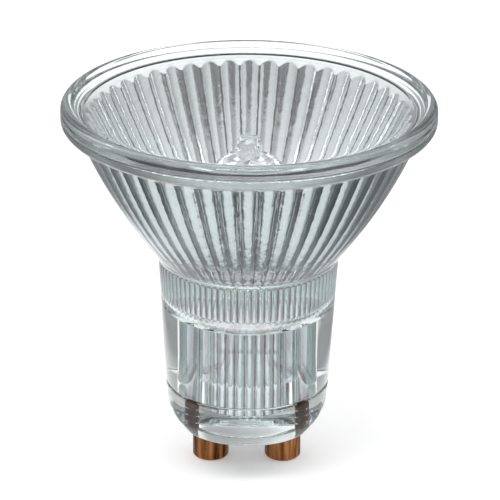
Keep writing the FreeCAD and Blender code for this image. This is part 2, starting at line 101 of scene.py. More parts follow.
# Filament, leads and pins; the rings of the shanks are a little wider than their holes, so that both touch
LEAD_OFFSET, FOIL_FOOT, FOIL_TOP, COIL_FOOT, COIL_TOP = 1.6, 20.0, 26.0, 33.0, 40.1
COIL_RADIUS, COIL_WIRE_RADIUS, COIL_PITCH, COIL_BEND = 0.42, 0.075, 0.32, 0.9
COIL_STEPS, COIL_SIDES, EYE_STEPS, EYE_SIDES, LEAD_SIDES = 14, 6, 33, 10, 16
EYE_RADIUS, EYE_WIRE_RADIUS, EYE_EMBED, EYE_START, STEM_GAP = 0.75, 0.12, 0.6, 0.1, 0.3
INNER_LEAD_RADIUS, OUTER_LEAD_RADIUS, LEAD_BEND = 0.25, 0.35, 1.0
LEAD_LOW, LEAD_HIGH = 14.2, 16.0
PIN_OFFSET, PIN_BORE_FLOOR, PIN_TOP = 5.0, 3.0, 11.4
PIN_HEAD_RADIUS, PIN_HEAD_LENGTH, PIN_EDGE, PIN_NECK_RADIUS = 2.5, 3.4, 0.35, 1.5
PIN_HOLE_RADIUS, PIN_RIDGE_RADIUS, PIN_GROOVE_RADIUS, PIN_RIDGES = 0.7, 0.71, 0.66, 5
PIN_COLLAR_RADIUS, PIN_BORE_RADIUS, PIN_ROUND, PIN_RIDGE_START = 0.8, 0.4, 0.12, 0.12

# The photograph's camera: lens and sensor in millimetres, place in metres, angles in degrees
CAMERA_LENS, CAMERA_SENSOR, CAMERA_NEAR = 271.8, 36.0, 0.01
CAMERA_PLACE, CAMERA_PITCH, CAMERA_YAW, CAMERA_ROLL = (0, -0.476, 0.228), 22.5, -0.03, 0.45

# Soft lamps: place, width and height in metres, radiance, and whether shiny surfaces show them
LAMP_TARGET = (0, 0, 0.03)
LAMPS = {
    "key": ((-0.45, -0.35, 0.75), 0.4, 0.4, 3.0, False),
    "fill": ((0.55, -0.1, 0.6), 0.3, 0.3, 3.0, False),
    "left_strip": ((-0.6, 0.1, 0.16), 0.07, 0.34, 2.0, True),
    "right_strip": ((0.6, 0.15, 0.16), 0.05, 0.30, 2.0, True),
    "front_top": ((0.0, -0.34, 0.82), 0.4, 0.12, 7.0, True),
    "back_top": ((0.0, 0.45, 0.75), 0.5, 0.12, 2.5, True),
}

# Brightness of the light tent by height, from front to back and from left to right
TENT_BY_HEIGHT = ((0.0, 0.65), (0.25, 0.85), (0.6, 1.25), (1.0, 1.35))
TENT_BY_DEPTH = ((0.0, 0.06), (0.1, 0.08), (0.125, 0.65), (0.35, 0.95), (0.6, 1.0), (0.95, 0.8))
TENT_BY_SIDE = ((0.0, 0.72), (0.33, 1.02), (0.4, 0.7), (0.6, 0.45), (0.7, 0.45), (0.74, 1.05), (1.0, 0.52))

# The white sheet in metres, its glow in what the camera, glass and metal see, and the table round it
SHEET_GLOW, SHEET_EDGE, SHEET_WHITE = 0.3, 0.7, (0.93, 0.93, 0.93)
SHEET_MIDDLE, SHEET_REACH, TABLE_GREY = (-0.005, 0.07, 0), (0.036, 0.165, 1), (0.23, 0.233, 0.233)

# Half the floor's width
FLOOR_REACH = 600


# Numbers and outlines

def smooth_min(a, b, blend):
    """The smaller of two numbers, rounded over where they meet."""
    mix = np.clip(0.5 + 0.5 * (b - a) / blend, 0, 1)
    return b * (1 - mix) + a * mix - blend * mix * (1 - mix)


def smooth_max(a, b, blend):
    """The larger of two numbers, rounded over where they meet."""
    return -smooth_min(-a, -b, blend)


def fade(value, start, end):
    """A smooth step from 0 at start to 1 at end."""
    share = np.clip((value - start) / (end - start), 0, 1)
    return share * share * (3 - 2 * share)


def flute_shape(count, columns=COLUMNS):
    """Parabolic flutes round a turn: 1 in the middle of each, 0 at the softened ridges between."""
    turns = np.arange(columns) / columns * count
    across = ((turns + 0.5) % 1) * 2 - 1
    shape = 1 - across ** 2
    return (np.roll(shape, 1) + 2 * shape + np.roll(shape, -1)) / 4


def rounded(points, radius, steps=5):
    """The outline with each inner corner replaced by a curve that leaves some of each leg straight."""
    most = 0.45
    points = [np.array(point, float) for point in points]
    result = [points[0]]
    for before, corner, after in zip(points, points[1:], points[2:]):
        back, ahead = before - corner, after - corner
        reach_back = min(radius, np.linalg.norm(back) * most)
        reach_ahead = min(radius, np.linalg.norm(ahead) * most)
        start = corner + back / np.linalg.norm(back) * reach_back
        end = corner + ahead / np.linalg.norm(ahead) * reach_ahead
        for share in np.linspace(0, 1, steps):
            result.append(start * (1 - share) ** 2 + corner * 2 * share * (1 - share) + end * share ** 2)
    return result + [points[-1]]


def filled(points, longest):
    """The outline with extra points, so that no step is longer than given."""
    result = [np.array(points[0], float)]
    for start, end in zip(points, points[1:]):
        start, end = np.array(start, float), np.array(end, float)
        count = max(1, math.ceil(np.linalg.norm(end - start) / longest))
        result += [start + (end - start) * number / count for number in range(1, count + 1)]
    return result


def arc(start, end, radius, steps):
    """Points of an arc between two points that bulges to the right of the way."""
    start, end = np.array(start, float), np.array(end, float)
    chord = end - start
    half = np.linalg.norm(chord) / 2
    right = np.array([chord[1], -chord[0]]) / (2 * half)
    centre = (start + end) / 2 - right * math.sqrt(radius ** 2 - half ** 2)
    first = math.atan2(*(start - centre)[::-1])
    last = math.atan2(*(end - centre)[::-1])
    return [centre + radius * np.array([math.cos(a), math.sin(a)]) for a in np.linspace(first, last, steps)]


# Meshes

def new_object(name, vertices, faces, materials, indices=None):
    """A mesh object in metres from points in millimetres, with smooth faces."""
    mesh = bpy.data.meshes.new(name)
    mesh.from_pydata([tuple(point) for point in np.asarray(vertices) * MM], [], faces)
    for material in materials:
        mesh.materials.append(material)
    if indices is not None:
        mesh.polygons.foreach_set("material_index", indices)
    mesh.validate()
    item = bpy.data.objects.new(name, mesh)
    bpy.context.scene.collection.objects.link(item)
    return item


def smooth(item, angle):
    """Smooth shading, apart from edges sharper than the angle in degrees."""
    item.data.polygons.foreach_set("use_smooth", [True] * len(item.data.polygons))
    item.data.set_sharp_from_angle(angle=math.radians(angle))


def lathe(name, rows, materials, row_materials=None):
    """A closed surface from rows of radius and height, each a number or one per column.

    A row of radius 0 closes the surface to a point.
    """
    columns = max(np.size(part) for row in rows for part in row)
    turn = np.arange(columns) / columns * TURN
    vertices, starts = [], []
    for radius, height in rows:
        starts.append(len(vertices))
        if np.size(radius) == 1 and float(np.ravel(radius)[0]) == 0:
            vertices.append((0, 0, float(np.mean(height))))
            continue
        radius = np.broadcast_to(radius, columns)
        height = np.broadcast_to(height, columns)
        vertices.extend(zip(radius * np.cos(turn), radius * np.sin(turn), height))
    starts.append(len(vertices))
    faces, indices = [], []
    for row in range(len(rows) - 1):
        low, high = starts[row], starts[row + 1]
        low_point = starts[row + 1] - low == 1
        high_point = starts[row + 2] - high == 1
        for column in range(columns):
            after = (column + 1) % columns
            if low_point:
                faces.append((low, high + after, high + column))
            elif high_point:
                faces.append((low + column, low + after, high))
            else:
                faces.append((low + column, low + after, high + after, high + column))
        indices.extend(np.broadcast_to(row_materials[row] if row_materials else 0, columns))
    return new_object(name, vertices, faces, materials, indices)


def combine(item, tool, operation):
    """Take a tool's solid out of an object, or join it on, for good."""
    step = item.modifiers.new("combine", "BOOLEAN")
    step.operation = operation
    step.solver = "EXACT"
    step.object = tool
    combined = bpy.data.meshes.new_from_object(item.evaluated_get(bpy.context.evaluated_depsgraph_get()))
    item.modifiers.remove(step)
    item.data = combined
    bpy.data.objects.remove(tool)


def tube(name, points, radius, sides, material):
    """A round wire along a line of points, closed at both ends."""
    points = np.asarray(points, float)
    along = np.gradient(points, axis=0)
    along /= np.linalg.norm(along, axis=1)[:, None]
    aside = (0.3, 1.0, 0.2)
    across = np.cross(along[0], aside)
    turn = np.arange(sides) / sides * TURN
    vertices = []
    for point, ahead in zip(points, along):
        across = across - ahead * np.dot(across, ahead)
        across /= np.linalg.norm(across)
        beside = np.cross(ahead, across)
        vertices.extend(point + radius * (math.cos(a) * across + math.sin(a) * beside) for a in turn)
    faces = [tuple(range(sides))[::-1], tuple(range(len(vertices) - sides, len(vertices)))]
    for row in range(len(points) - 1):
        for side in range(sides):
            after = (side + 1) % sides
            low, high = row * sides, (row + 1) * sides
            faces.append((low + side, low + after, high + after, high + side))
    wire = new_object(name, vertices, faces, [material])
    smooth(wire, angle=60)
    return wire


def upright(points):
    """Points of the plane through the lamp's axis and pins, as points in space."""
    return [(point[0], 0, point[1]) for point in points]


def turned(name, outline, materials):
    """A small round solid from an outline that starts and ends on the axis."""
    rows = [(radius if radius == 0 else np.full(SMALL_COLUMNS, radius), height) for radius, height in outline]
    return lathe(name, rows, materials)


def mount(item, node):
    """Let a piece ride on the lamp in place of a solid."""
    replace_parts(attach(item, "root"), node)


def post(name, radius, foot, top, across, materials, mark, sides=64):
    """A plain upright rod, used as a carving tool that leaves the marked material behind."""
    ring = np.full(sides, radius)
    rod = lathe(name, [(0, foot), (ring, foot), (ring, top), (0, top)], materials, [mark] * 3)
    rod.data.transform(Matrix.Translation((across * MM, 0, 0)) @ Matrix.Rotation(POST_TURN, 4, "Z"))
    return rod


def slab(name, low, high, materials=(), mark=0):
    """A plain block between two corners, used as a tool that leaves the marked material behind."""
    corners = [(x, y, z) for x in (low[0], high[0]) for y in (low[1], high[1]) for z in (low[2], high[2])]
    faces = [(0, 1, 3, 2), (4, 6, 7, 5), (0, 4, 5, 1), (2, 3, 7, 6), (0, 2, 6, 4), (1, 5, 7, 3)]
    return new_object(name, corners, faces, materials, [mark] * len(faces))


# Materials

def colour_ramp(tree, value, stops):
    """A colour that follows a value through given stops."""
    node = tree.nodes.new("ShaderNodeValToRGB")
    steps = node.color_ramp.elements
    while len(steps) < len(stops):
        steps.new(0.5)
    for step, (place, colour) in zip(steps, stops):
        step.position = place
        step.color = (*colour, 1)
    tree.links.new(value, node.inputs["Fac"])
    return node.outputs["Color"]


def product(tree, first, second):
    """Two colours multiplied with each other."""
    node = tree.nodes.new("ShaderNodeMix")
    node.data_type = "RGBA"
    node.blend_type = "MULTIPLY"
    node.inputs[0].default_value = 1.0
    tree.links.new(first, node.inputs[6])
    tree.links.new(second, node.inputs[7])
    return node.outputs[2]


class Nodes:
    """A material's node tree, with short calls for the nodes that the finishes share."""

    def __init__(self, name):
        self.material = bpy.data.materials.new(name)
        self.material.use_nodes = True
        self.tree = self.material.node_tree
        self.shader = self.tree.nodes["Principled BSDF"]

    def add(self, kind, **settings):
        node = self.tree.nodes.new(kind)
        for key, value in settings.items():
            if hasattr(node, key):
                setattr(node, key, value)
            else:
                node.inputs[key.replace("_", " ")].default_value = value
        return node

    def link(self, source, target):
        self.tree.links.new(source, target)

    def set(self, **values):
        for key, value in values.items():
            self.shader.inputs[key.replace("_", " ")].default_value = value

    def noise(self, stretch, scale, detail=3.0):
        place = self.add("ShaderNodeTexCoord")
        mapping = self.add("ShaderNodeMapping")
        mapping.inputs["Scale"].default_value = stretch
        self.link(place.outputs["Object"], mapping.inputs["Vector"])
        texture = self.add("ShaderNodeTexNoise", Scale=scale, Detail=detail)
        self.link(mapping.outputs["Vector"], texture.inputs["Vector"])
        return texture.outputs["Fac"]

    def bump(self, height, strength, distance):
        node = self.add("ShaderNodeBump", Strength=strength, Distance=distance)
        self.link(height, node.inputs["Height"])
        self.link(node.outputs["Normal"], self.shader.inputs["Normal"])

    def ramp(self, value, stops, socket=None):
        colour = colour_ramp(self.tree, value, stops)
        if socket:
            self.link(colour, self.shader.inputs[socket])
        return colour

    def ridges(self):
        """A value that grows from the ridges between flutes, broken up into fine specks; it places the
        painted shade lines on the ridges.
        """
        ridge = self.add("ShaderNodeAttribute", attribute_name=FLUTE_VALUE)
        speckle = self.add("ShaderNodeMath", operation="MULTIPLY_ADD")
        speckle_share = 0.5
        speckle.inputs[1].default_value = speckle_share
        self.link(self.noise(stretch=(1, 1, 0.5), scale=1800.0, detail=5.0), speckle.inputs[0])
        self.link(ridge.outputs["Fac"], speckle.inputs[2])
        return speckle.outputs["Value"]

    def multiply(self, first, second, socket):
        self.link(product(self.tree, first, second), self.shader.inputs[socket])


def clear_glass(name, tint, ior, wave):
    """Clear glass with the faint waves that pressing or melting leaves."""
    nodes = Nodes(name)
    nodes.set(Base_Color=(*tint, 1), Roughness=0.0, IOR=ior, Transmission_Weight=1.0)
    nodes.bump(nodes.noise(stretch=(1, 1, 0.6), scale=420.0), strength=wave, distance=0.0002)
    return nodes.material


def ground_glass():
    """Satin glass: the band at the mouth, where the lens is bonded on, and the floor of the well."""
    nodes = Nodes("ground glass")
    nodes.set(Base_Color=(0.96, 0.985, 0.985, 1), Roughness=0.3, IOR=1.5, Transmission_Weight=1.0)
    nodes.bump(nodes.noise(stretch=(1, 1, 1), scale=2500.0, detail=4.0), strength=0.1, distance=0.0001)
    return nodes.material


def overspray(name, tint, strength, ridge_shade_colour=None):
    """Clear glass under a thin, partly clear film of aluminium, as inside the neck, with painted shade as
    darker lines on the ridges when a ridge colour is given.
    """
    nodes = Nodes(name)
    nodes.set(Base_Color=(*tint, 1), Metallic=strength, Roughness=0.03, IOR=1.5,
              Transmission_Weight=1.0, Thin_Film_Thickness=420.0, Thin_Film_IOR=1.9)
    if ridge_shade_colour:
        # Painted shade: the ridges of the ribs or well flutes are darkened into speckled lines
        nodes.ramp(nodes.ridges(), [(0.42, ridge_shade_colour), (0.75, tint)], "Base Color")
    nodes.bump(nodes.noise(stretch=(1, 1, 0.3), scale=700.0), strength=0.05, distance=0.0002)
    return nodes.material


def mirror_coating():
    """Aluminium on pressed glass: bright on its open side, greyer through the glass, with painted shade as
    dark, speckled lines on the ridges.
    """
    nodes = Nodes("mirror coating")
    nodes.set(Metallic=1.0, Roughness=0.05)
    side = nodes.add("ShaderNodeNewGeometry")
    coat = nodes.ramp(side.outputs["Backfacing"], [(0.0, (0.90, 0.935, 0.945)), (1.0, (0.61, 0.64, 0.65))])
    # Painted shade: dark speckled lines along the flute ridges, multiplied into the coat's colour
    painted_ridge_lines = nodes.ramp(nodes.ridges(), [(0.3, (0.04, 0.04, 0.04)), (0.5, (1, 1, 1))])
    nodes.multiply(coat, painted_ridge_lines, "Base Color")
    nodes.bump(nodes.noise(stretch=(1, 1, 0.55), scale=900.0, detail=4.0), strength=0.25, distance=0.0002)
    return nodes.material


def pin_metal():
    """Tarnished copper-brown metal with drawn streaks along the pin, darker inside the glass."""
    nodes = Nodes("pin metal")
    nodes.set(Metallic=1.0)
    streaks = nodes.noise(stretch=(1, 1, 0.08), scale=1500.0, detail=5.0)
    bright = nodes.ramp(
        streaks, [(0.3, (0.035, 0.014, 0.006)), (0.48, (0.22, 0.085, 0.03)), (0.7, (0.5, 0.23, 0.09))])
    place = nodes.add("ShaderNodeTexCoord")
    parts = nodes.add("ShaderNodeSeparateXYZ")
    nodes.link(place.outputs["Object"], parts.inputs["Vector"])
    # The pin's colour darkens from just below the glass's foot upward, inside the glass
    bright_top, dark_from = BASE - 0.2, BASE + 0.6
    height = nodes.add("ShaderNodeMapRange", From_Min=bright_top * MM, From_Max=dark_from * MM)
    nodes.link(parts.outputs["Z"], height.inputs["Value"])
    darker_in_glass = nodes.ramp(height.outputs["Result"], [(0.0, (1, 1, 1)), (1.0, (0.3, 0.27, 0.27))])
    nodes.multiply(bright, darker_in_glass, "Base Color")
    nodes.ramp(streaks, [(0.3, (0.5, 0.5, 0.5)), (0.7, (0.3, 0.3, 0.3))], "Roughness")
    nodes.bump(nodes.noise(stretch=(1, 1, 0.1), scale=2400.0, detail=4.0), strength=0.2, distance=0.0001)
    return nodes.material


def plain_metal(name, colour, roughness, scale):
    """Drawn or rolled metal with fine marks along its length."""
    nodes = Nodes(name)
    nodes.set(Metallic=1.0, Roughness=roughness)
    marks = nodes.noise(stretch=(1, 1, 0.1), scale=scale, detail=4.0)
    shade = 0.7
    dark = tuple(part * shade for part in colour)
    nodes.ramp(marks, [(0.35, dark), (0.65, colour)], "Base Color")
    nodes.bump(marks, strength=0.15, distance=0.00005)
    return nodes.material


# Glass body

def mirror_radius(height):
    """Ridge radius of the mirror cavity: a parabola from the throat to the mouth."""
    mouth = BOWL_MOUTH_RADIUS - MOUTH_WALL
    growth = (mouth ** 2 - THROAT_RADIUS ** 2) / (BOWL_TOP - THROAT)
    return math.sqrt(THROAT_RADIUS ** 2 + growth * (height - THROAT))


def outside_rows():
    """The glass body's outside from the middle of its foot to the rim, with both key bevels."""
    base = rounded([
        (0, BASE), (BASE_EDGE_RADIUS, BASE), (BASE_RADIUS, BASE + BEVEL_HEIGHT),
        (STEP_RADIUS - SEAM_LIP, STEP_HEIGHT - SEAM_FOOT),
    ], BASE_ROUND, BASE_STEPS)
    seam = [(STEP_RADIUS - SEAM_DEPTH, STEP_HEIGHT - SEAM_MIDDLE),
            (STEP_RADIUS + SEAM_LIP, STEP_HEIGHT + SEAM_TOP)]
    bowl = arc((NECK_TOP_RADIUS, NECK_TOP), (BOWL_MOUTH_RADIUS, BOWL_TOP), BOWL_CURVE_RADIUS, BOWL_STEPS)
    rim_foot, rim_edge = (RIM_RADIUS - RIM_ROUND, RIM_UNDER), (RIM_RADIUS, RIM_UNDER + RIM_ROUND)
    rim = arc(rim_foot, rim_edge, RIM_ROUND, RIM_STEPS)
    upper = rounded([seam[-1], bowl[0], bowl[1]], NECK_ROUND) + bowl[2:-1]
    upper += rounded([bowl[-2], bowl[-1], rim[0]], RIM_FOOT_ROUND)[1:-1] + rim
    seat = rounded([rim[-1], (RIM_RADIUS, RIM_SEAT), (MOUTH_RADIUS, RIM_SEAT)], SEAT_ROUND)[1:-1]
    foot = filled([(BASE_EDGE_RADIUS / 2, BASE), *base[1:]], FOOT_STEP)
    outline = base[:1] + foot + seam[:1] + filled(upper, SIDE_STEP) + seat
    turn = np.arange(COLUMNS) / COLUMNS * TURN
    near_zero = 1e-3
    side = np.maximum(np.abs(np.cos(turn)), near_zero)
    foot_edge = max(radius for radius, height in outline if height <= BASE)
    rows = [(0, BASE)]
    for radius, height in outline[1:]:
        key_face = BASE_RADIUS - KEY_INSET + (height - BASE) * KEY_INSET / KEY_HEIGHT
        reach = max(radius, foot_edge)
        edge = smooth_min(np.full(COLUMNS, reach), key_face / side, KEY_ROUND)
        rows.append((edge * radius / reach, np.full(COLUMNS, height)))
    return rows


def inside_rows():
    """The glass body's inside from the mouth down to the middle of the well floor.

    Returns the rows and, for each, the coat that covers the stretch below it.
    """
    flutes = flute_shape(FLUTES)
    ribs, well_flutes = flute_shape(RIBS), flute_shape(WELL_FLUTES)
    level = np.ones(COLUMNS)
    share = FLUTE_DEPTH / (BOWL_MOUTH_RADIUS - MOUTH_WALL)
    rows = [(MOUTH_RADIUS * level, RIM_SEAT * level),
            (MOUTH_RADIUS * level, (BAND_TOP + BORE_FOOT) * level)]
    coated = [BARE, BARE]
    scallops = np.linspace(BAND_TOP, BAND_TOP - SCALLOP_DROP, SCALLOP_ROWS)
    mirror = np.linspace(BAND_TOP - BAND_HEIGHT, THROAT + MIRROR_FOOT, MIRROR_ROWS)
    throat = np.linspace(THROAT + FLUTE_FADE, THROAT, FLUTE_FADE_ROWS)
    for height in [*scallops, *mirror, *throat]:
        ridge = mirror_radius(height)
        depth = ridge * share * fade(height, THROAT, THROAT + FLUTE_FADE)
        fluted = ridge + depth * flutes
        band = MOUTH_RADIUS - (BAND_TOP - height) * BAND_WIDTH / BAND_HEIGHT
        rows.append((smooth_max(fluted, band * level, SCALLOP_ROUND), height * level))
        coated.append(np.where(fluted > band, MIRROR, GROUND))
    rib_ends = [end + step for end in (RIB_HEAD, RIB_FOOT) for step in RIB_END_STEPS]
    for height in [THROAT - SOCKET_EDGE, *rib_ends, LEDGE + SOCKET_EDGE]:
        plain = SOCKET_RADIUS + SOCKET_DRAFT * (height - LEDGE) / (THROAT - LEDGE)
        above_foot = fade(height, RIB_FOOT - RIB_FADE, RIB_FOOT + RIB_FADE)
        below_head = fade(height, RIB_HEAD + RIB_FADE, RIB_HEAD - RIB_FADE)
        depth = RIB_DEPTH * above_foot * below_head
        rows.append((plain + depth * ribs, height * level))
        coated.append(RIB_FILM)
    well = WELL_RADIUS + WELL_FLUTE_DEPTH * well_flutes
    for radius_share in LEDGE_SHARES:
        rows.append((SOCKET_RADIUS + (well - SOCKET_RADIUS) * radius_share, LEDGE * level))
        coated.append(TUNNEL_FILM)
    for height in (LEDGE - WELL_EDGE, LEDGE - WELL_STEP, WELL_FLOOR + WELL_STEP):
        rows.append((well, height * level))
        coated.append(WELL_FILM)
    for radius_share in FLOOR_SHARES:
        rows.append((well * radius_share, WELL_FLOOR * level))
        coated.append(GROUND)
    return rows + [(0, WELL_FLOOR)], coated


def mark_flutes(mesh):
    """Note on each point how far it lies from a ridge: 0 on it, 1 in mid-flute and where there are none; the
    painted shade lines on the ridges follow this value.
    """
    x, y, z = np.array([vertex.co for vertex in mesh.vertices]).T / MM
    values = np.ones(len(z))
    fluted = ((WELL_FLUTES, BASE, LEDGE), (RIBS, RIB_FOOT, RIB_HEAD), (FLUTES, THROAT, RIDGE_TOP))
    for count, low, high in fluted:
        across = ((np.arctan2(y, x) / TURN * count + 0.5) % 1) * 2 - 1
        values = np.where((z >= low) & (z <= high), 1 - across ** 2, values)
    mesh.attributes.new(FLUTE_VALUE, "FLOAT", "POINT").data.foreach_set("value", values)


def reflector(coats):
    """The pressed glass body, with its coatings, lead tunnels, channels and pin holes."""
    outer = outside_rows()
    inner, coated = inside_rows()
    marks = [BARE] * len(outer) + coated
    body = lathe("reflector_glass", outer + inner, coats, marks)
    mark_flutes(body.data)
    for side in (-1, 1):
        tunnel, pin = side * TUNNEL_OFFSET, side * PIN_OFFSET
        left, right = sorted((side * WELL_RADIUS / 2, tunnel))
        tools = [
            post("tunnel", TUNNEL_RADIUS, TUNNEL_FLOOR, LEDGE + OVERRUN, tunnel, coats, TUNNEL_FILM),
            slab("channel", (left, -CHANNEL_WIDTH / 2, LEDGE - CHANNEL_DEPTH),
                 (right, CHANNEL_WIDTH / 2, LEDGE + OVERRUN), coats, TUNNEL_FILM),
            post("pin hole", PIN_HOLE_RADIUS, BASE - OVERRUN, TUNNEL_FLOOR + OVERRUN, pin, coats, BARE),
        ]
        for tool in tools:
            combine(body, tool, "DIFFERENCE")
    smooth(body, angle=50)
    mount(body, "reflector_body")


# Lens and burner

def front_lens(glass):
    """The front glass: a rounded bead round a flat pane, with a spigot that sits in the mouth."""
    seat = RIM_SEAT - SEAT_SINK
    crown = RIM_RADIUS - BEAD_ROUND
    bead = arc((RIM_RADIUS, LENS_TOP - BEAD_ROUND), (crown, LENS_TOP), BEAD_ROUND, BEAD_STEPS)
    flat = SPIGOT_RADIUS - PANE_STEP
    under = rounded([
        (flat, LENS_BACK), (SPIGOT_RADIUS, LENS_BACK), (SPIGOT_RADIUS, seat),
        (RIM_RADIUS - BEAD_FOOT_INSET, seat), (RIM_RADIUS, seat + BEAD_FOOT_RISE), bead[0],
    ], LENS_ROUND)
    inner = rounded([
        bead[-1], (crown - CROWN_WIDTH, LENS_TOP - CROWN_DROP),
        (BEAD_INNER_RADIUS, LENS_FACE), (flat, LENS_FACE),
    ], PANE_ROUND)
    middle = flat - PANE_STEP
    back, face = [(0, LENS_BACK), (middle, LENS_BACK)], [(middle, LENS_FACE), (0, LENS_FACE)]
    rows = [(radius if radius == 0 else np.full(LENS_COLUMNS, radius), height)
            for radius, height in back + under[:-1] + bead[:-1] + inner + face]
    lens = lathe("front_lens_glass", rows, [glass])
    smooth(lens, angle=50)
    mount(lens, "front_lens")


def burner(quartz):
    """The quartz capsule: a domed bottle with a melted tip, on a flat pinch."""
    reach = BODY_RADIUS - TIP_NECK_RADIUS
    dome = [(TIP_NECK_RADIUS + reach * math.cos(a), SHOULDER + DOME_RISE * math.sin(a))
            for a in np.linspace(0, math.pi / 2, DOME_STEPS)]
    tip = rounded([
        dome[-1], (TIP_RADIUS, TIP_TOP - TIP_WIDEST_DROP),
        (TIP_RADIUS * TIP_SHOULDER_SHARE, TIP_TOP - TIP_SHOULDER_DROP),
        (TIP_RADIUS * TIP_FLAT_SHARE, TIP_TOP), (0, TIP_TOP),
    ], TIP_ROUND)
    foot = rounded([
        (0, BOTTLE_FOOT), (BLEND_RADIUS, BOTTLE_FOOT), (BODY_RADIUS, BODY_FOOT), dome[0],
    ], FOOT_ROUND)
    bottle = turned("burner_quartz", foot[:-1] + dome[:-1] + tip, [quartz])
    pinch = slab("pinch", (-PINCH_WIDTH / 2, -PINCH_THICKNESS / 2, PINCH_FOOT),
                 (PINCH_WIDTH / 2, PINCH_THICKNESS / 2, PINCH_TOP))
    combine(bottle, pinch, "UNION")
    hollow = rounded([
        (0, BODY_FOOT), (CAVITY_RADIUS, BODY_FOOT), (CAVITY_RADIUS, SHOULDER), (0, SHOULDER),
    ], CAVITY_ROUND)
    combine(bottle, turned("cavity", hollow, []), "DIFFERENCE")
    for vertex in bottle.data.vertices:
        height = vertex.co.z / MM
        turn = math.atan2(vertex.co.y, vertex.co.x)
        ripple = sum(math.sin(around * turn + along * height) for around, along in LUMP_WAVES)
        near_tip = fade(height, TIP_TOP - LUMP_START_DROP, TIP_TOP - LUMP_FULL_DROP)
        lump = TIP_LUMPS * near_tip * (2 + ripple) / 4
        vertex.co.xy *= 1 - lump
    smooth(bottle, angle=40)
    mount(bottle, "burner_envelope")


# Wires and pins

def wires(tungsten, lead_metal):
    """The wound coil, its support, and the leads on both sides."""
    legs = rounded([(-LEAD_OFFSET, COIL_FOOT), (-LEAD_OFFSET, COIL_TOP), (LEAD_OFFSET, COIL_TOP),
                    (LEAD_OFFSET, COIL_FOOT)], COIL_BEND)
    middle = np.array(upright(filled(legs, COIL_PITCH / COIL_STEPS)))
    along = np.gradient(middle, axis=0)
    along /= np.linalg.norm(along, axis=1)[:, None]
    depth = np.array((0, 1.0, 0))
    beside = np.cross(along, depth)
    way = np.concatenate([[0], np.cumsum(np.linalg.norm(np.diff(middle, axis=0), axis=1))])
    turn = way / COIL_PITCH * TURN
    reach = COIL_RADIUS - COIL_WIRE_RADIUS
    coil = middle + reach * (np.cos(turn)[:, None] * depth + np.sin(turn)[:, None] * beside)
    mount(tube("filament_coil", coil, COIL_WIRE_RADIUS, COIL_SIDES, tungsten), "filament")

    eye = [(0, EYE_RADIUS * math.sin(a), COIL_TOP + EYE_RADIUS * math.cos(a))
           for a in np.linspace(EYE_START, TURN, EYE_STEPS)]
    stem = [(0, 0, COIL_TOP + EYE_RADIUS + STEM_GAP), (0, 0, SHOULDER + EYE_EMBED)]
    mount(tube("support_wire", eye + stem, EYE_WIRE_RADIUS, EYE_SIDES, tungsten),
          "filament_support")

    for name, side in (("left", -1), ("right", 1)):
        inner = [(side * LEAD_OFFSET, 0, FOIL_TOP), (side * LEAD_OFFSET, 0, COIL_FOOT)]
        mount(tube("inner_lead_" + name, inner, INNER_LEAD_RADIUS, LEAD_SIDES, tungsten),
              "filament_lead_" + name)
        outer = rounded([(side * PIN_OFFSET, PIN_BORE_FLOOR), (side * PIN_OFFSET, LEAD_LOW),
                         (side * LEAD_OFFSET, LEAD_HIGH), (side * LEAD_OFFSET, FOIL_FOOT)], LEAD_BEND)
        mount(tube("lower_lead_" + name, upright(outer), OUTER_LEAD_RADIUS, LEAD_SIDES, lead_metal),
              "outer_lead_" + name)


def pins(metal):
    """Both contact pins: a head and neck below the glass, and a ringed shank with a collar in it."""
    ridge = (TUNNEL_FLOOR - BASE) / PIN_RIDGES
    shank = []
    for number in range(PIN_RIDGES):
        foot = BASE + number * ridge
        shank += [(PIN_GROOVE_RADIUS, foot), (PIN_RIDGE_RADIUS, foot + PIN_RIDGE_START * ridge),
                  (PIN_RIDGE_RADIUS, foot + ridge)]
    outline = rounded([
        (0, 0), (PIN_HEAD_RADIUS - PIN_EDGE, 0), (PIN_HEAD_RADIUS, PIN_EDGE),
        (PIN_HEAD_RADIUS, PIN_HEAD_LENGTH), (PIN_NECK_RADIUS, PIN_HEAD_LENGTH),
        (PIN_NECK_RADIUS, BASE), *shank,
        (PIN_COLLAR_RADIUS, TUNNEL_FLOOR), (PIN_COLLAR_RADIUS, PIN_TOP), (PIN_BORE_RADIUS, PIN_TOP),
        (PIN_BORE_RADIUS, PIN_BORE_FLOOR), (0, PIN_BORE_FLOOR),
    ], PIN_ROUND)
    for name, side in (("left", -1), ("right", 1)):
        pin = turned("pin_" + name, outline, [metal])
        pin.data.transform(Matrix.Translation((side * PIN_OFFSET * MM, 0, 0)))
        smooth(pin, angle=40)
        mount(pin, "contact_pin_" + name)


# Camera, light and floor

def camera():
    """The photograph's view: a long lens from the front that looks down on the lamp."""
    data = bpy.data.cameras.new("camera")
    data.lens = CAMERA_LENS
    data.sensor_width = CAMERA_SENSOR
    data.clip_start = CAMERA_NEAR
    item = bpy.data.objects.new("camera", data)
    pitch, yaw, roll = (math.radians(angle) for angle in (CAMERA_PITCH, CAMERA_YAW, CAMERA_ROLL))
    level = Matrix.Rotation(yaw, 4, "Z") @ Matrix.Rotation(math.pi / 2 - pitch, 4, "X")
    turn = level @ Matrix.Rotation(roll, 4, "Z")
    item.matrix_world = Matrix.Translation(CAMERA_PLACE) @ turn
    bpy.context.scene.collection.objects.link(item)
    bpy.context.scene.camera = item


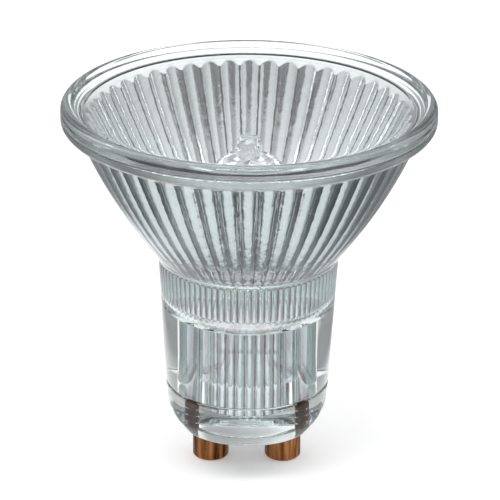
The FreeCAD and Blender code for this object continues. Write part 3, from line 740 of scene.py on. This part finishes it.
def softbox(name, place, target, width, height, radiance, mirrored):
    """A rectangular soft lamp that faces a point; mirrored says whether shiny surfaces show it."""
    data = bpy.data.lights.new(name, "AREA")
    data.shape = "RECTANGLE"
    data.size, data.size_y = width, height
    data.energy = radiance * math.pi * width * height
    item = bpy.data.objects.new(name, data)
    item.location = place
    item.rotation_euler = (Vector(target) - Vector(place)).to_track_quat("-Z", "Y").to_euler()
    item.visible_glossy = mirrored
    item.visible_transmission = mirrored
    bpy.context.scene.collection.objects.link(item)


def grey_ramp(tree, value, stops):
    """A grey that follows a value through given stops."""
    return colour_ramp(tree, value, [(place, (grey, grey, grey)) for place, grey in stops])


def tent():
    """The walls of a light tent: bright panels above and at both sides, darker low down and in front."""
    world = bpy.data.worlds.new("tent")
    bpy.context.scene.world = world
    world.use_nodes = True
    tree = world.node_tree
    place = tree.nodes.new("ShaderNodeTexCoord")
    parts = tree.nodes.new("ShaderNodeSeparateXYZ")
    tree.links.new(place.outputs["Generated"], parts.inputs["Vector"])
    level = grey_ramp(tree, parts.outputs["Z"], TENT_BY_HEIGHT)
    for axis, stops in (("Y", TENT_BY_DEPTH), ("X", TENT_BY_SIDE)):
        share = tree.nodes.new("ShaderNodeMapRange")
        share.inputs["From Min"].default_value = -1.0
        tree.links.new(parts.outputs[axis], share.inputs["Value"])
        level = product(tree, level, grey_ramp(tree, share.outputs["Result"], stops))
    tree.links.new(level, tree.nodes["Background"].inputs["Color"])


def studio():
    """Soft lamps on both sides and above, in a light tent."""
    for name, (place, width, height, radiance, mirrored) in LAMPS.items():
        softbox(name, place, LAMP_TARGET, width, height, radiance, mirrored)
    tent()
    light_paths = bpy.context.scene.cycles
    light_paths.max_bounces = 32
    light_paths.glossy_bounces = 16
    light_paths.transmission_bounces = 24


def floor():
    """White paper under and behind the lamp on a grey table, which the camera sees as white all over.

    From below it is clear, so that the lamp's underside shows.
    """
    nodes = Nodes("studio floor")
    nodes.set(Roughness=0.9)
    place = nodes.add("ShaderNodeTexCoord")
    shifted = nodes.add("ShaderNodeMapping", vector_type="TEXTURE")
    shifted.inputs["Location"].default_value = SHEET_MIDDLE
    shifted.inputs["Scale"].default_value = SHEET_REACH
    nodes.link(place.outputs["Object"], shifted.inputs["Vector"])
    parts = nodes.add("ShaderNodeSeparateXYZ")
    nodes.link(shifted.outputs["Vector"], parts.inputs["Vector"])
    sizes = []
    for axis in "XY":
        size = nodes.add("ShaderNodeMath", operation="ABSOLUTE")
        nodes.link(parts.outputs[axis], size.inputs[0])
        sizes.append(size.outputs["Value"])
    far = nodes.add("ShaderNodeMath", operation="MAXIMUM")
    for number, size in enumerate(sizes):
        nodes.link(size, far.inputs[number])
    path = nodes.add("ShaderNodeLightPath")
    unseen = nodes.add("ShaderNodeMath", operation="SUBTRACT")
    unseen.inputs[0].default_value = 1.0
    nodes.link(path.outputs["Is Camera Ray"], unseen.inputs[1])
    seen = nodes.add("ShaderNodeMath", operation="MULTIPLY")
    nodes.link(far.outputs["Value"], seen.inputs[0])
    nodes.link(unseen.outputs["Value"], seen.inputs[1])
    sheet = [(SHEET_EDGE, SHEET_WHITE), (1.0, TABLE_GREY)]
    nodes.ramp(seen.outputs["Value"], sheet, "Base Color")
    nodes.ramp(seen.outputs["Value"], sheet, "Emission Color")
    shown = path.outputs["Is Camera Ray"]
    for kind in ("Is Glossy Ray", "Is Transmission Ray"):
        either = nodes.add("ShaderNodeMath", operation="MAXIMUM")
        nodes.link(shown, either.inputs[0])
        nodes.link(path.outputs[kind], either.inputs[1])
        shown = either.outputs["Value"]
    glow = nodes.add("ShaderNodeMath", operation="MULTIPLY")
    glow.inputs[1].default_value = SHEET_GLOW
    nodes.link(shown, glow.inputs[0])
    nodes.link(glow.outputs["Value"], nodes.shader.inputs["Emission Strength"])
    side = nodes.add("ShaderNodeNewGeometry")
    underside = nodes.add("ShaderNodeBsdfTransparent")
    surface = nodes.add("ShaderNodeMixShader")
    nodes.link(side.outputs["Backfacing"], surface.inputs["Fac"])
    nodes.link(nodes.shader.outputs["BSDF"], surface.inputs[1])
    nodes.link(underside.outputs["BSDF"], surface.inputs[2])
    nodes.link(surface.outputs["Shader"], nodes.tree.nodes["Material Output"].inputs["Surface"])
    corners = [(x * FLOOR_REACH, y * FLOOR_REACH, 0) for x, y in ((-1, -1), (1, -1), (1, 1), (-1, 1))]
    new_object("floor", corners, [(0, 1, 2, 3)], [nodes.material])


def dress(node, material):
    """Give a carried-over solid its finish."""
    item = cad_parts[node]
    item.data.materials.clear()
    item.data.materials.append(material)
    smooth(item, angle=35)


bpy.context.scene.view_settings.view_transform = "Standard"
# The mirror coating and the rib and well films carry painted shade lines on their flute ridges
reflector([
    clear_glass("reflector glass", tint=(0.87, 0.925, 0.925), ior=1.5, wave=0.02),
    mirror_coating(), ground_glass(),
    overspray("rib film", tint=(0.95, 0.985, 0.99), strength=0.4, ridge_shade_colour=(0.12, 0.13, 0.13)),
    overspray("tunnel film", tint=(0.68, 0.73, 0.74), strength=0.5),
    overspray("well film", tint=(0.84, 0.89, 0.90), strength=0.45, ridge_shade_colour=(0.1, 0.105, 0.105)),
])
front_lens(clear_glass("lens glass", tint=(0.98, 0.995, 0.995), ior=1.5, wave=0.02))
burner(clear_glass("quartz", tint=(0.96, 0.975, 0.975), ior=1.46, wave=0.12))
tungsten = plain_metal("tungsten", colour=(0.32, 0.32, 0.33), roughness=0.4, scale=3000.0)
wires(tungsten, plain_metal("lead wire", colour=(0.8, 0.79, 0.77), roughness=0.3, scale=2500.0))
pins(pin_metal())
foil = plain_metal("foil", colour=(0.5, 0.5, 0.52), roughness=0.3, scale=2000.0)
for side in ("left", "right"):
    dress("foil_" + side, foil)
camera()
studio()
floor()
